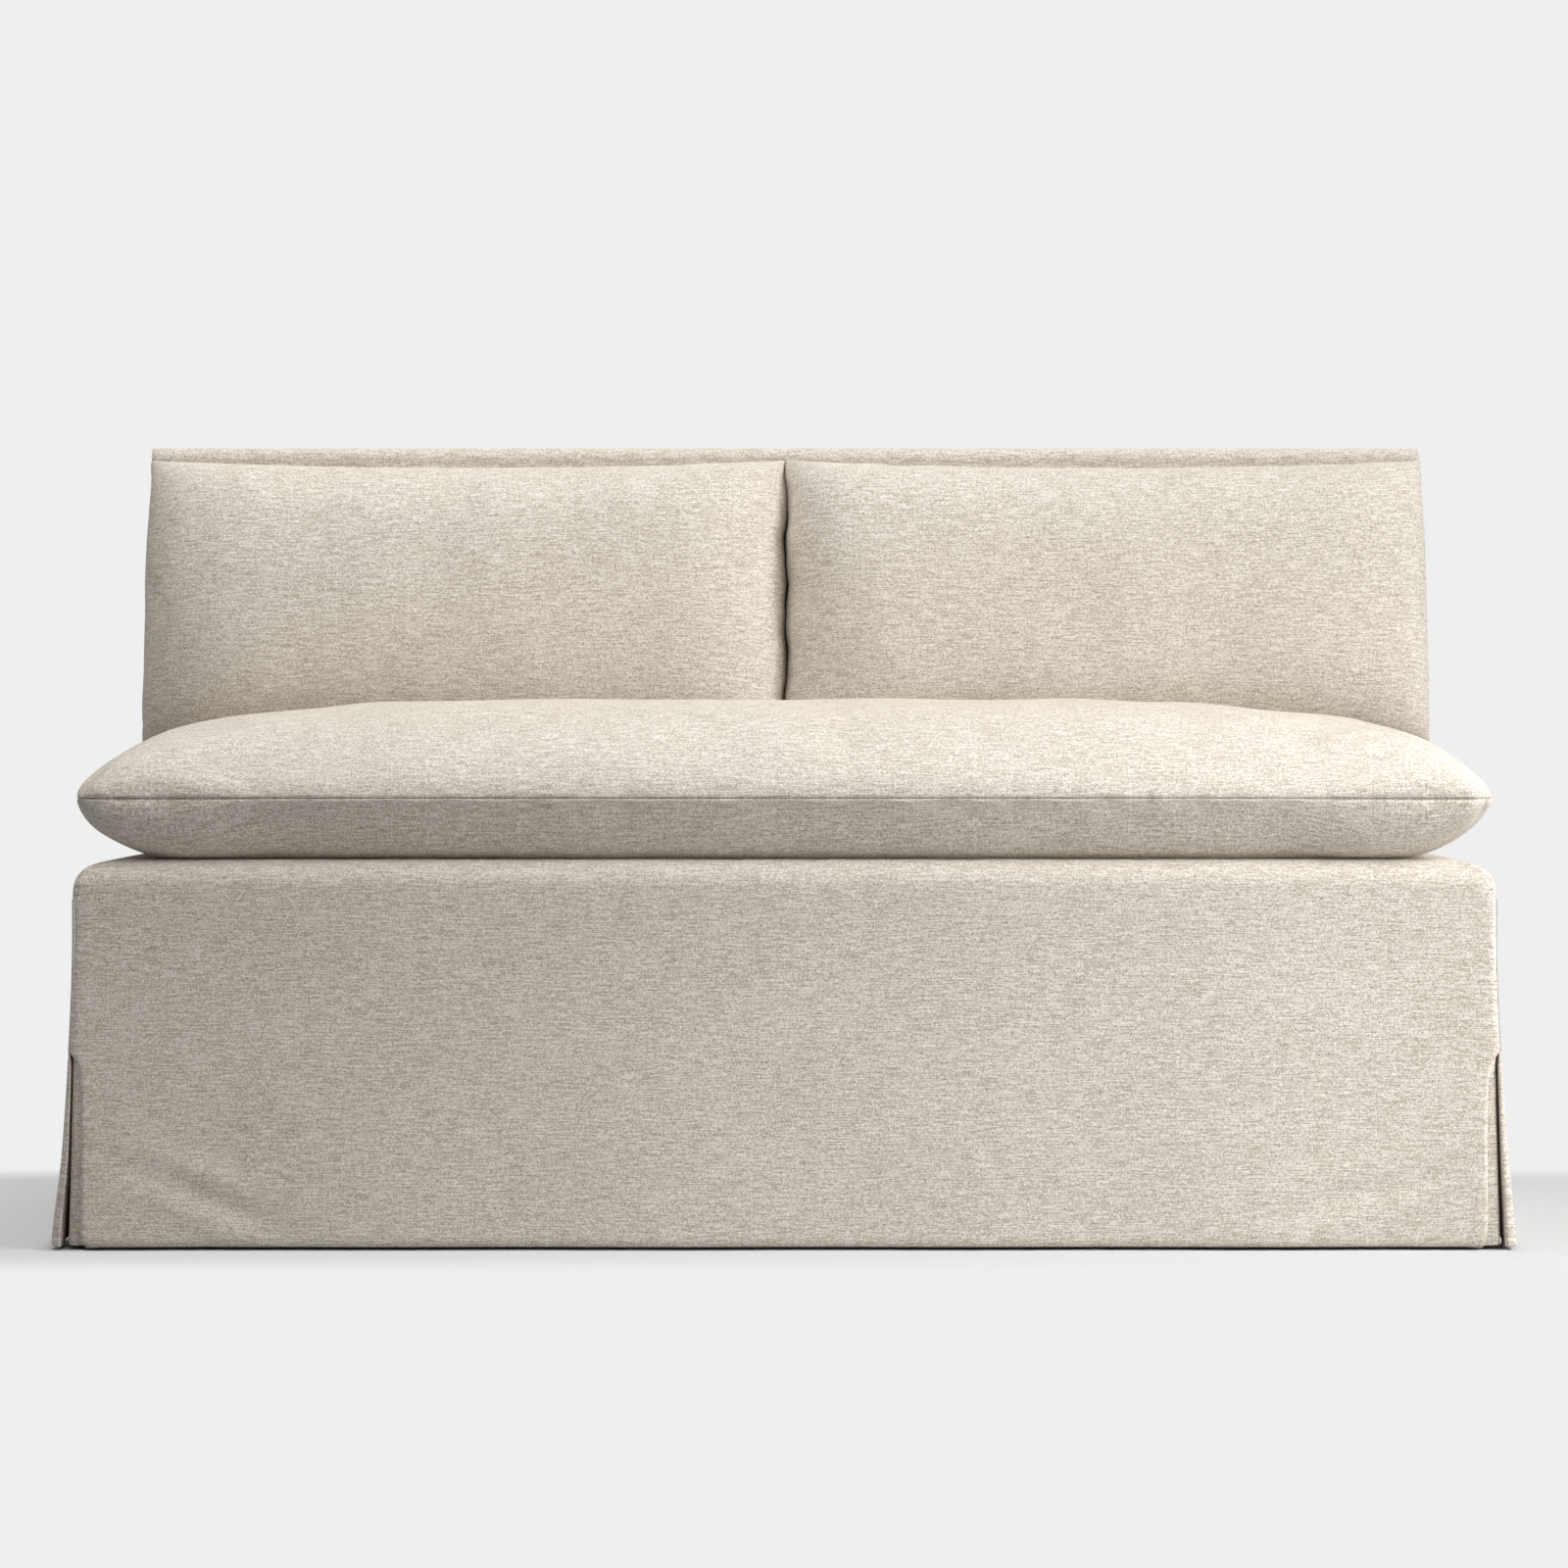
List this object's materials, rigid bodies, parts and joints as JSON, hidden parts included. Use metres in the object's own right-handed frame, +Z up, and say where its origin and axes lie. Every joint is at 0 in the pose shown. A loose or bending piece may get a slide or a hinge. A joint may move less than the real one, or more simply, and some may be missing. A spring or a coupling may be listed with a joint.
{
  "type": "dining banquette",
  "caption": "Armless upholstered dining banquette with a slipcover to the floor, corner kick pleats, a knife-edge seat cushion and loose back cushions.",
  "frame": {"origin": "on the floor, under the middle of the banquette's outer box", "axes": "+X to the right as seen from the front, along the longest side; +Y from the front to the outside back; +Z up"},
  "size_m": [1.564, 0.714, 0.89],
  "materials": {
    "cover_fabric": "matte",
    "frame_hardwood": "satin",
    "spring_steel": "satin",
    "zinc_steel": "satin",
    "foam": "matte",
    "wadding": "matte",
    "burlap": "matte",
    "fibreboard": "matte",
    "cambric": "matte",
    "zip_tape": "matte"
  },
  "bodies": {
    "base": {"front_rail": "frame_hardwood", "rear_rail": "frame_hardwood", "side_rail_left": "frame_hardwood", "side_rail_right": "frame_hardwood", "centre_rail": "frame_hardwood", "corner_blocks": "frame_hardwood", "leg_front_left": "frame_hardwood", "leg_front_right": "frame_hardwood", "leg_rear_left": "frame_hardwood", "leg_rear_right": "frame_hardwood", "leg_centre": "frame_hardwood", "leg_glides": "zinc_steel", "leg_bolts": "zinc_steel", "leg_nuts": "zinc_steel", "frame_screws": "zinc_steel", "back_post_left": "frame_hardwood", "back_post_right": "frame_hardwood", "back_post_centre": "frame_hardwood", "back_top_rail": "frame_hardwood", "back_lower_rail": "frame_hardwood", "back_bolts": "zinc_steel", "back_nuts": "zinc_steel", "back_webbing": "burlap", "outside_back_board": "fibreboard", "seat_spring_1": "spring_steel", "seat_spring_2": "spring_steel", "seat_spring_3": "spring_steel", "seat_spring_4": "spring_steel", "seat_spring_5": "spring_steel", "seat_spring_6": "spring_steel", "seat_spring_7": "spring_steel", "seat_spring_8": "spring_steel", "seat_spring_9": "spring_steel", "seat_spring_10": "spring_steel", "spring_clips": "zinc_steel", "insulator_sheet": "burlap", "deck_pad": "foam", "front_wadding": "wadding", "side_waddings": "wadding", "back_waddings": "wadding", "back_pad": "foam", "dust_cover": "cambric", "deck_cover": "cover_fabric", "front_panel": "cover_fabric", "side_panel_left": "cover_fabric", "side_panel_right": "cover_fabric", "rear_panel": "cover_fabric", "front_pleat_inserts": "cover_fabric", "rear_pleat_inserts": "cover_fabric", "inside_back_cover": "cover_fabric", "back_gussets": "cover_fabric"},
    "seat_cushion": {"seat_cushion_cover": "cover_fabric", "seat_cushion_core": "foam", "seat_cushion_zip": "zip_tape"},
    "back_cushion_left": {"back_cushion_cover_left": "cover_fabric", "back_cushion_fill_left": "wadding", "back_cushion_zip_left": "zip_tape"},
    "back_cushion_right": {"back_cushion_cover_right": "cover_fabric", "back_cushion_fill_right": "wadding", "back_cushion_zip_right": "zip_tape"}
  },
  "joints": [
    {"name": "seat_cushion_slide", "type": "slide", "parent": "base", "child": "seat_cushion", "axis": [0, -1, 0], "range_m": [0, 0.7]},
    {"name": "back_cushion_left_lift", "type": "slide", "parent": "base", "child": "back_cushion_left", "axis": [0, -0.5, 0.866], "range_m": [0, 0.4]},
    {"name": "back_cushion_right_lift", "type": "slide", "parent": "base", "child": "back_cushion_right", "axis": [0, -0.5, 0.866], "range_m": [0, 0.4]}
  ]
}
